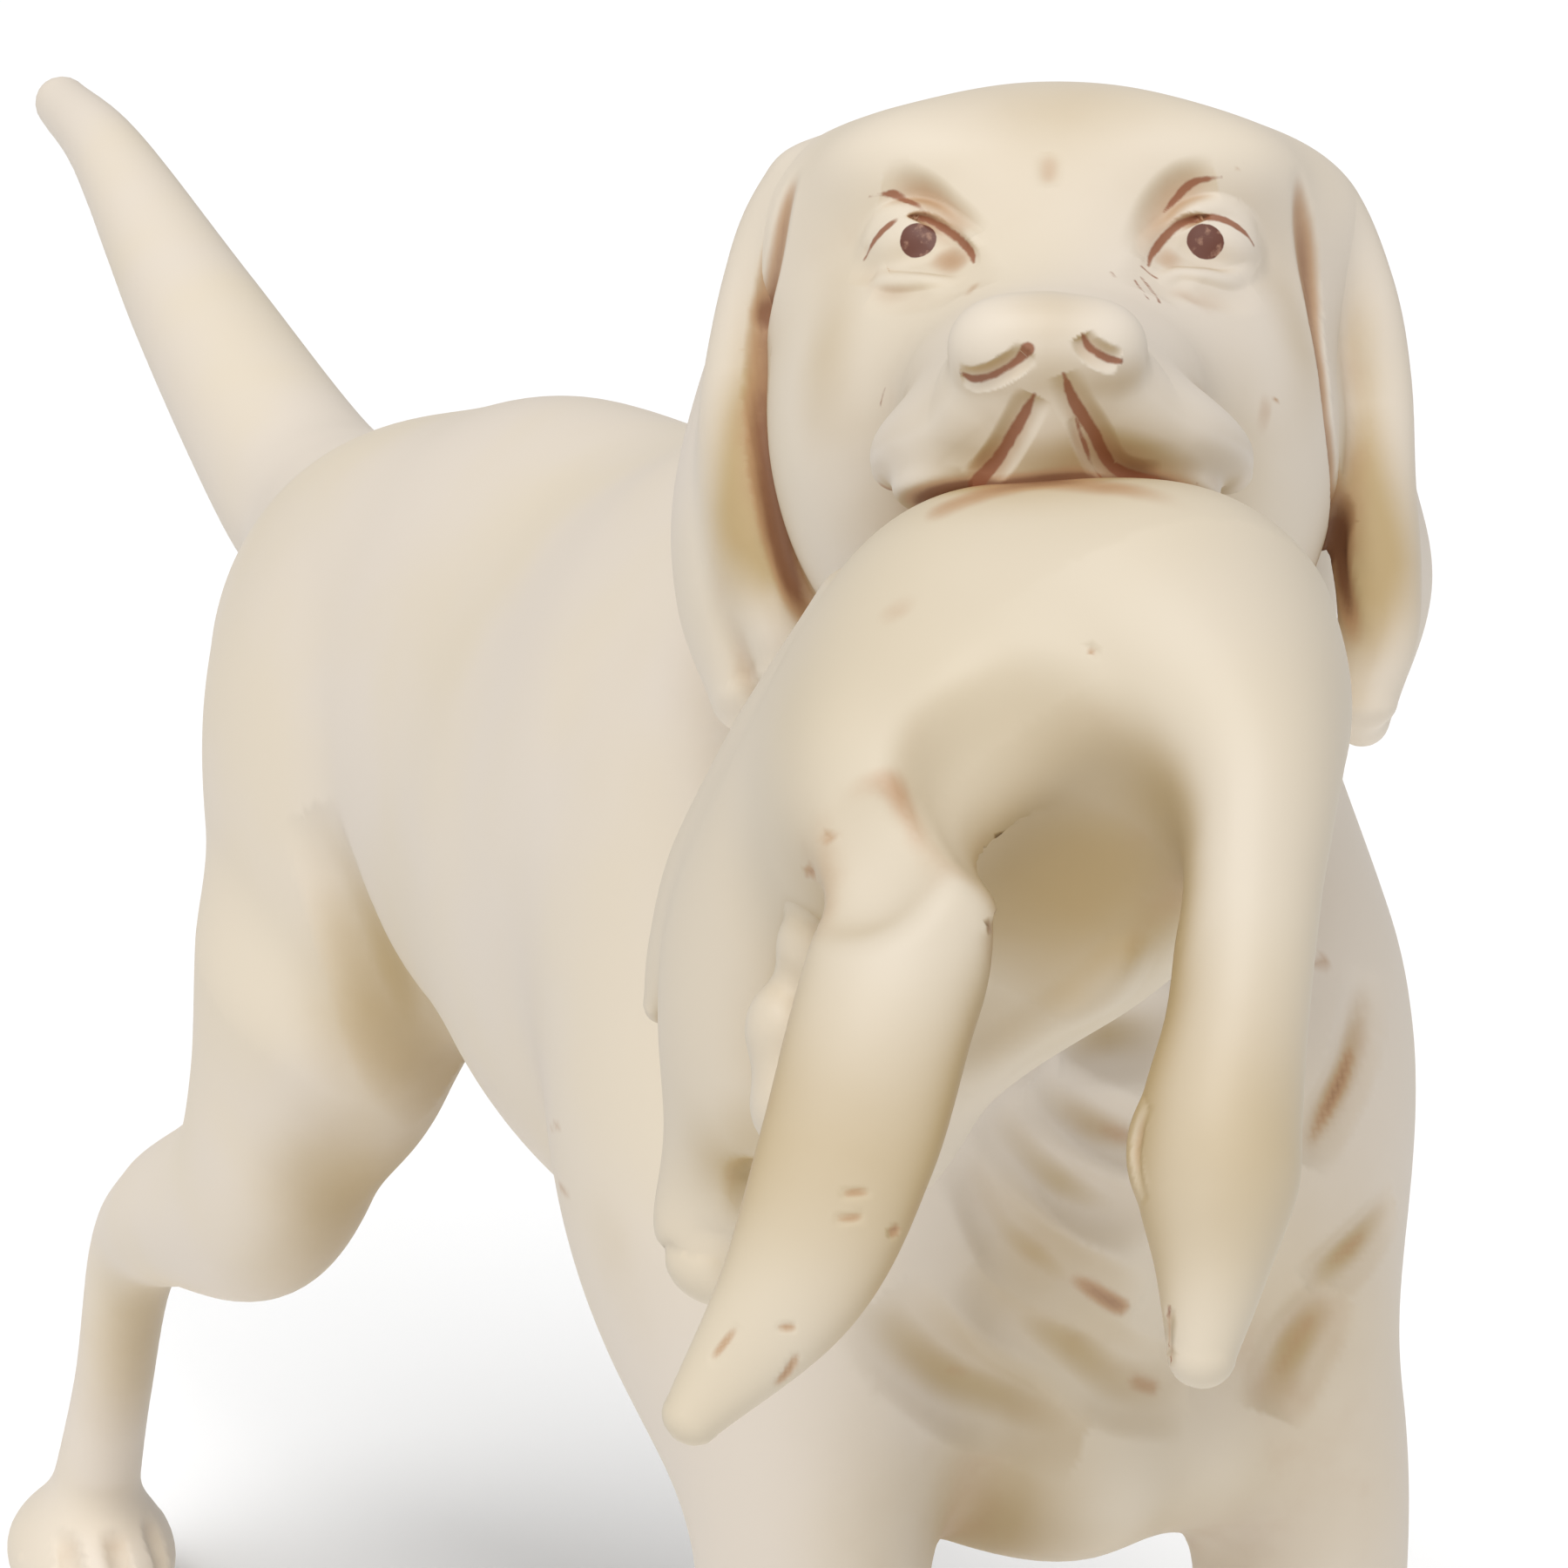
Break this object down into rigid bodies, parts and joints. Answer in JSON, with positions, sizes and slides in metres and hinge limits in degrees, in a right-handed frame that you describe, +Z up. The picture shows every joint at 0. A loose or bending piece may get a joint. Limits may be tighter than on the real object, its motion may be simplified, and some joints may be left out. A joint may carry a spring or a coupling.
{
  "type": "dog figurine",
  "caption": "Porcelain retriever standing on its paws with its head turned, carrying a dead duck across its mouth.",
  "frame": {"origin": "under the middle of the bounding box, on the surface that the paws stand on", "axes": "+Z up, the dog faces -Y, its left side is +X"},
  "size_m": [0.1026, 0.3432, 0.1888],
  "materials": {
    "dog_glaze": "satin ivory glaze with brown stain in the creases",
    "duck_glaze": "satin ivory glaze, a little warmer, with brown stain in the hollows"
  },
  "bodies": {
    "root": {"dog_torso": "dog_glaze", "dog_head": "dog_glaze", "ear_left": "dog_glaze", "ear_right": "dog_glaze", "foreleg_left": "dog_glaze", "foreleg_right": "dog_glaze", "hindleg_left": "dog_glaze", "hindleg_right": "dog_glaze", "tail": "dog_glaze", "duck_body": "duck_glaze", "duck_neck_head": "duck_glaze", "duck_near_wing": "duck_glaze", "duck_tail": "duck_glaze", "duck_far_wing": "duck_glaze", "duck_feet": "duck_glaze"}
  },
  "joints": []
}
